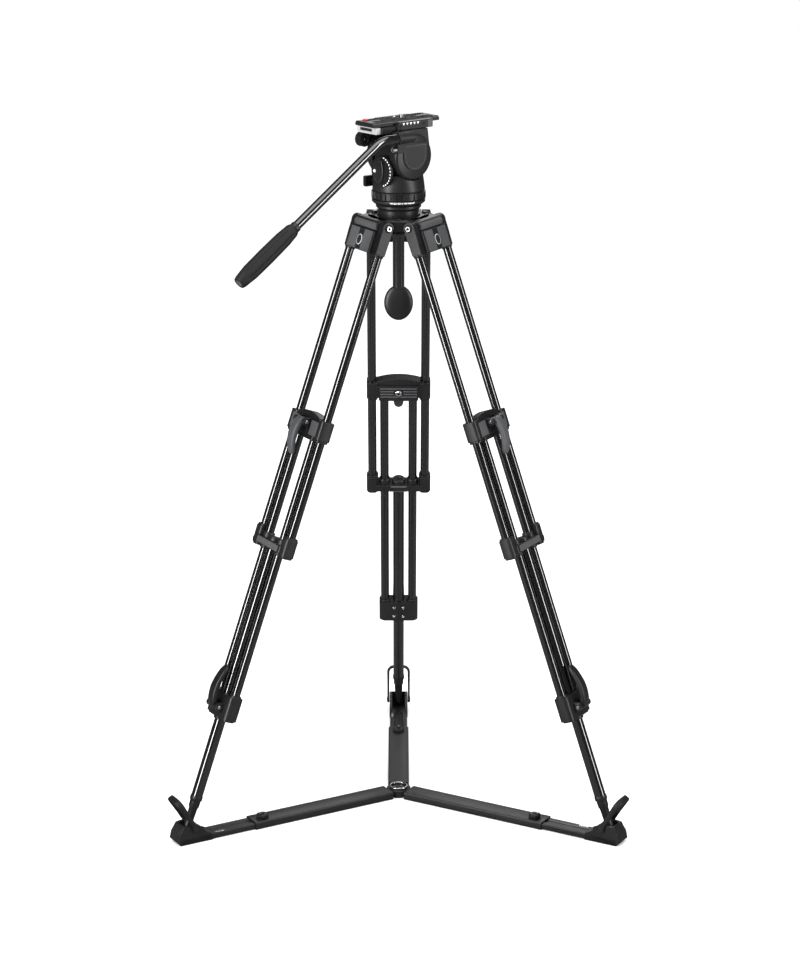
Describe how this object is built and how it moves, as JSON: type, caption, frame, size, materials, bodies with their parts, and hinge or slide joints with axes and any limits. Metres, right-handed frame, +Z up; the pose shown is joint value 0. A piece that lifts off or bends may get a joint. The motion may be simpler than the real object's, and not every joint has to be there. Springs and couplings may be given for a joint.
{
  "type": "tripod with fluid head",
  "caption": "Telescoping twin-tube camera tripod on a floor spreader, with a levelling bowl, a fluid pan and tilt head, a sliding camera plate and a pan bar.",
  "frame": {"origin": "on the floor under the spreader's hub, on the tripod's vertical axis", "axes": "+Z up; +Y toward the rear leg; the operator stands toward -X and -Y"},
  "size_m": [0.8338, 0.771, 1.2707],
  "materials": {
    "cast_metal": "fine satin black paint over die-cast alloy",
    "black_tube": "black anodised, glossy",
    "black_plastic": "fine texture",
    "rubber": "matte moulded rubber",
    "bright_steel": "bright",
    "red_plastic": "gloss"
  },
  "bodies": {
    "spreader": {"spreader_hub": "cast_metal", "spreader_sleeve_rear": "cast_metal", "spreader_sleeve_left": "cast_metal", "spreader_sleeve_right": "cast_metal"},
    "crown": {"crown": "cast_metal", "bubble_level": "bright_steel"},
    "upper_leg_rear": {"top_block_rear": "cast_metal", "outer_frame_rear": "black_tube"},
    "upper_leg_left": {"top_block_left": "cast_metal", "outer_frame_left": "black_tube"},
    "upper_leg_right": {"top_block_right": "cast_metal", "outer_frame_right": "black_tube"},
    "middle_leg_rear": {"clamp_housing_rear": "cast_metal", "inner_frame_rear": "black_tube"},
    "middle_leg_left": {"clamp_housing_left": "cast_metal", "inner_frame_left": "black_tube"},
    "middle_leg_right": {"clamp_housing_right": "cast_metal", "inner_frame_right": "black_tube"},
    "lower_leg_rear": {"lower_tube_rear": "black_tube"},
    "lower_leg_left": {"lower_tube_left": "black_tube"},
    "lower_leg_right": {"lower_tube_right": "black_tube"},
    "upper_lever_rear": {"upper_lever_rear": "black_plastic"},
    "upper_lever_left": {"upper_lever_left": "black_plastic"},
    "upper_lever_right": {"upper_lever_right": "black_plastic"},
    "lower_lever_rear": {"lower_lever_rear": "black_plastic"},
    "lower_lever_left": {"lower_lever_left": "black_plastic"},
    "lower_lever_right": {"lower_lever_right": "black_plastic"},
    "spreader_arm_rear": {"spreader_bar_rear": "black_plastic"},
    "spreader_arm_left": {"spreader_bar_left": "black_plastic"},
    "spreader_arm_right": {"spreader_bar_right": "black_plastic"},
    "foot_latch_rear": {"foot_latch_rear": "rubber"},
    "foot_latch_left": {"foot_latch_left": "rubber"},
    "foot_latch_right": {"foot_latch_right": "rubber"},
    "pan_base": {"pan_base": "cast_metal"},
    "tilt_platform": {"tilt_body": "cast_metal", "side_cover_right": "cast_metal", "side_cover_left": "cast_metal", "plate_bed": "cast_metal"},
    "pan_bar": {"pan_bar_clamp": "cast_metal", "pan_bar": "black_tube", "pan_bar_grip": "rubber"},
    "camera_plate": {"camera_plate": "cast_metal"},
    "half_ball": {"half_ball": "cast_metal", "pan_scale_ring": "cast_metal"},
    "plate_release": {"plate_release_frame": "bright_steel"},
    "bowl_clamp_handle": {"bowl_clamp_handle": "black_plastic"},
    "hub_ring": {"hub_ring": "bright_steel"},
    "tilt_drag_dial": {"tilt_drag_dial": "black_plastic"},
    "pan_drag_ring": {"pan_drag_ring": "black_plastic"},
    "counterbalance_knob": {"counterbalance_knob": "black_plastic"},
    "pan_brake_lever": {"pan_brake_lever": "black_plastic"},
    "plate_safety_button": {"plate_safety_button": "red_plastic"},
    "camera_screw": {"camera_screw": "bright_steel"},
    "pan_bar_clamp_knob": {"pan_bar_clamp_knob": "black_plastic"},
    "spreader_knob_rear": {"spreader_knob_rear": "black_plastic"},
    "spreader_knob_left": {"spreader_knob_left": "black_plastic"},
    "spreader_knob_right": {"spreader_knob_right": "black_plastic"}
  },
  "joints": [
    {"name": "tripod_lift", "type": "slide", "parent": "spreader", "child": "crown", "axis": [0, 0, 1], "range_m": [0, 0.18]},
    {"name": "leg_fold_rear", "type": "hinge", "parent": "crown", "child": "upper_leg_rear", "pos_m": [0, 0.0525, 1.0823], "axis": [-1, 0, 0], "range_deg": [0, 19.6]},
    {"name": "leg_fold_left", "type": "hinge", "parent": "crown", "child": "upper_leg_left", "pos_m": [-0.04547, -0.02625, 1.0823], "axis": [0.5, -0.866, 0], "range_deg": [0, 19.6]},
    {"name": "leg_fold_right", "type": "hinge", "parent": "crown", "child": "upper_leg_right", "pos_m": [0.04547, -0.02625, 1.0823], "axis": [0.5, 0.866, 0], "range_deg": [0, 19.6]},
    {"name": "head_tilt", "type": "hinge", "parent": "pan_base", "child": "tilt_platform", "pos_m": [0, 0, 1.2007], "axis": [0.6388, -0.7694, 0], "range_deg": [-70, 24]},
    {"name": "head_pan", "type": "hinge", "parent": "half_ball", "child": "pan_base", "pos_m": [0, 0, 1.1235], "axis": [0, 0, 1], "continuous": true},
    {"name": "plate_slide", "type": "slide", "parent": "tilt_platform", "child": "camera_plate", "axis": [0.7694, 0.6388, 0], "range_m": [-0.04, 0.04]},
    {"name": "pan_bar_angle", "type": "hinge", "parent": "tilt_platform", "child": "pan_bar", "pos_m": [0.01193, -0.05508, 1.239], "axis": [-0.6388, 0.7694, 0], "range_deg": [-15, 60]},
    {"name": "stage_one_rear", "type": "slide", "parent": "upper_leg_rear", "child": "middle_leg_rear", "axis": [0, 0.3414, -0.9399], "range_m": [-0.24, 0]},
    {"name": "stage_one_left", "type": "slide", "parent": "upper_leg_left", "child": "middle_leg_left", "axis": [-0.2956, -0.1707, -0.9399], "range_m": [-0.24, 0]},
    {"name": "stage_one_right", "type": "slide", "parent": "upper_leg_right", "child": "middle_leg_right", "axis": [0.2956, -0.1707, -0.9399], "range_m": [-0.24, 0]},
    {"name": "stage_two_rear", "type": "slide", "parent": "middle_leg_rear", "child": "lower_leg_rear", "axis": [0, 0.3414, -0.9399], "range_m": [-0.14, 0]},
    {"name": "stage_two_left", "type": "slide", "parent": "middle_leg_left", "child": "lower_leg_left", "axis": [-0.2956, -0.1707, -0.9399], "range_m": [-0.14, 0]},
    {"name": "stage_two_right", "type": "slide", "parent": "middle_leg_right", "child": "lower_leg_right", "axis": [0.2956, -0.1707, -0.9399], "range_m": [-0.14, 0]},
    {"name": "upper_lever_open_rear", "type": "hinge", "parent": "middle_leg_rear", "child": "upper_lever_rear", "pos_m": [0, 0.1965, 0.74733], "axis": [1, 0, 0], "range_deg": [0, 90]},
    {"name": "upper_lever_open_left", "type": "hinge", "parent": "middle_leg_left", "child": "upper_lever_left", "pos_m": [-0.17017, -0.09825, 0.74733], "axis": [-0.5, 0.866, 0], "range_deg": [0, 90]},
    {"name": "upper_lever_open_right", "type": "hinge", "parent": "middle_leg_right", "child": "upper_lever_right", "pos_m": [0.17017, -0.09825, 0.74733], "axis": [-0.5, -0.866, 0], "range_deg": [0, 90]},
    {"name": "lower_lever_open_rear", "type": "hinge", "parent": "middle_leg_rear", "child": "lower_lever_rear", "pos_m": [0, 0.37742, 0.24917], "axis": [-1, 0, 0], "range_deg": [0, 90]},
    {"name": "lower_lever_open_left", "type": "hinge", "parent": "middle_leg_left", "child": "lower_lever_left", "pos_m": [-0.32685, -0.18871, 0.24917], "axis": [0.5, -0.866, 0], "range_deg": [0, 90]},
    {"name": "lower_lever_open_right", "type": "hinge", "parent": "middle_leg_right", "child": "lower_lever_right", "pos_m": [0.32685, -0.18871, 0.24917], "axis": [0.5, 0.866, 0], "range_deg": [0, 90]},
    {"name": "arm_slide_rear", "type": "slide", "parent": "spreader", "child": "spreader_arm_rear", "axis": [0, 1, 0], "range_m": [0, 0.06]},
    {"name": "arm_slide_left", "type": "slide", "parent": "spreader", "child": "spreader_arm_left", "axis": [-0.866, -0.5, 0], "range_m": [0, 0.06]},
    {"name": "arm_slide_right", "type": "slide", "parent": "spreader", "child": "spreader_arm_right", "axis": [0.866, -0.5, 0], "range_m": [0, 0.06]},
    {"name": "foot_latch_open_rear", "type": "hinge", "parent": "spreader_arm_rear", "child": "foot_latch_rear", "pos_m": [0, 0.427, 0.0275], "axis": [-1, 0, 0], "range_deg": [0, 50]},
    {"name": "foot_latch_open_left", "type": "hinge", "parent": "spreader_arm_left", "child": "foot_latch_left", "pos_m": [-0.36979, -0.2135, 0.0275], "axis": [0.5, -0.866, 0], "range_deg": [0, 50]},
    {"name": "foot_latch_open_right", "type": "hinge", "parent": "spreader_arm_right", "child": "foot_latch_right", "pos_m": [0.36979, -0.2135, 0.0275], "axis": [0.5, 0.866, 0], "range_deg": [0, 50]},
    {"name": "plate_release", "type": "hinge", "parent": "tilt_platform", "child": "plate_release", "pos_m": [-0.04886, -0.04056, 1.2452], "axis": [0.6388, -0.7694, 0], "range_deg": [0, 12]},
    {"name": "half_ball_level", "type": "hinge", "parent": "crown", "child": "half_ball", "pos_m": [0, 0, 1.099], "axis": [1, 0, 0], "range_deg": [-6, 6]},
    {"name": "bowl_clamp_turn", "type": "hinge", "parent": "half_ball", "child": "bowl_clamp_handle", "pos_m": [0, 0, 1.06], "axis": [0, 0, 1], "continuous": true},
    {"name": "hub_ring_lift", "type": "hinge", "parent": "spreader", "child": "hub_ring", "pos_m": [0, 0.0155, 0.0163], "axis": [-1, 0, 0], "range_deg": [0, 80]},
    {"name": "tilt_drag_turn", "type": "hinge", "parent": "pan_base", "child": "tilt_drag_dial", "pos_m": [-0.02874, -0.03426, 1.176], "axis": [0.7694, 0.6388, 0], "range_deg": [0, 270]},
    {"name": "pan_drag_turn", "type": "hinge", "parent": "half_ball", "child": "pan_drag_ring", "pos_m": [0, 0, 1.131], "axis": [0, 0, 1], "range_deg": [0, 180]},
    {"name": "counterbalance_turn", "type": "hinge", "parent": "tilt_platform", "child": "counterbalance_knob", "pos_m": [-0.06159, -0.01474, 1.2295], "axis": [0.6388, -0.7694, 0], "range_deg": [0, 300]},
    {"name": "pan_brake_turn", "type": "hinge", "parent": "pan_base", "child": "pan_brake_lever", "pos_m": [-0.04271, 0.02953, 1.15], "axis": [0.6388, -0.7694, 0], "range_deg": [0, 60]},
    {"name": "safety_button_press", "type": "slide", "parent": "camera_plate", "child": "plate_safety_button", "axis": [0, 0, -1], "range_m": [0, 0.0012]},
    {"name": "camera_screw_turn", "type": "hinge", "parent": "camera_plate", "child": "camera_screw", "pos_m": [0.00462, 0.00383, 1.264], "axis": [0, 0, 1], "continuous": true},
    {"name": "bar_clamp_screw_turn", "type": "hinge", "parent": "pan_bar", "child": "pan_bar_clamp_knob", "pos_m": [-0.00769, -0.07527, 1.2195], "axis": [0.7694, 0.6388, 0], "continuous": true},
    {"name": "arm_knob_turn_rear", "type": "hinge", "parent": "spreader", "child": "spreader_knob_rear", "pos_m": [0, 0.285, 0.018], "axis": [0, 0, 1], "range_deg": [0, 90]},
    {"name": "arm_knob_turn_left", "type": "hinge", "parent": "spreader", "child": "spreader_knob_left", "pos_m": [-0.24682, -0.1425, 0.018], "axis": [0, 0, 1], "range_deg": [0, 90]},
    {"name": "arm_knob_turn_right", "type": "hinge", "parent": "spreader", "child": "spreader_knob_right", "pos_m": [0.24682, -0.1425, 0.018], "axis": [0, 0, 1], "range_deg": [0, 90]}
  ],
  "couplings": [
    {"joint": "leg_fold_rear", "follows": "tripod_lift", "rad_per_m": 1.9},
    {"joint": "leg_fold_left", "follows": "tripod_lift", "rad_per_m": 1.9},
    {"joint": "leg_fold_right", "follows": "tripod_lift", "rad_per_m": 1.9}
  ]
}
